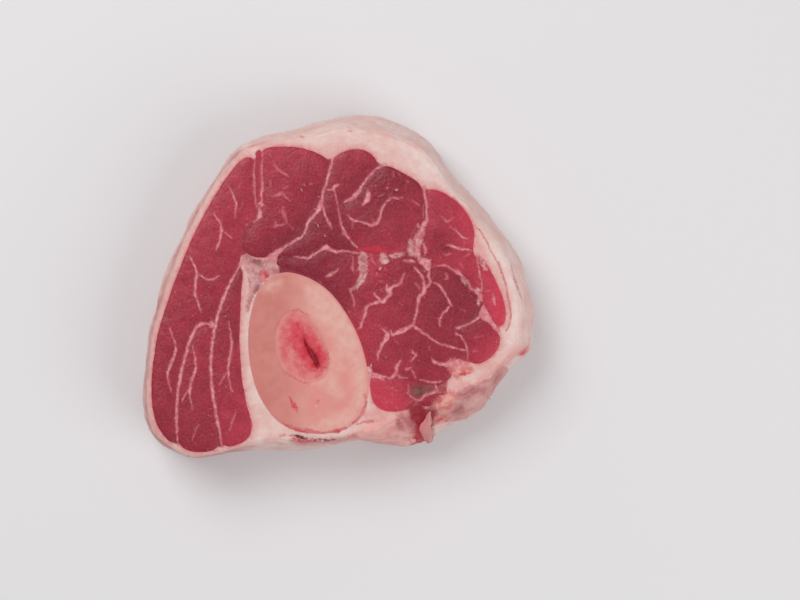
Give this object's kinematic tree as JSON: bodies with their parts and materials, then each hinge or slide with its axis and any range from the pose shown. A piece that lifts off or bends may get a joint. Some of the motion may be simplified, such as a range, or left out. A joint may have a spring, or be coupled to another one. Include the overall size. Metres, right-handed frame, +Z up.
{
  "type": "raw beef shank slice",
  "caption": "Slice of raw beef shank sawn across the leg: round of bone with marrow, lean muscles parted by seams of fat and silverskin, and an outer rim of fat.",
  "frame": {"origin": "middle of the footprint box, on the surface that the slice lies on", "axes": "+X along the slice's longer side, from the front muscles under the bone's left to the fat edge on the right; +Y towards the thick fat rim; +Z up, out of the upper cut face"},
  "size_m": [0.1335, 0.1169, 0.028],
  "materials": {
    "fat": "moist firm fat and silverskin, pale cream with a pink cast",
    "bone": "freshly sawn bone, peach pink, slightly damp",
    "marrow": "soft wet red marrow with a dark core",
    "lean": "moist raw lean beef with thin pale marbling",
    "tendon": "translucent grey-brown tendon",
    "membrane": "thin moist grey-pink membrane"
  },
  "bodies": {
    "root": {"fat_and_silverskin": "fat", "shin_bone": "bone", "marrow": "marrow", "tendon": "tendon", "membrane_curl": "membrane", "lean_front_outer": "lean", "lean_front_middle": "lean", "lean_front_inner": "lean", "lean_upper_left": "lean", "lean_upper_middle": "lean", "lean_above_bone": "lean", "lean_dark": "lean", "lean_upper_right": "lean", "lean_edge_wedge": "lean", "lean_centre": "lean", "lean_lower_right": "lean", "lean_beside_bone": "lean", "lean_thin_strip": "lean"}
  },
  "joints": []
}
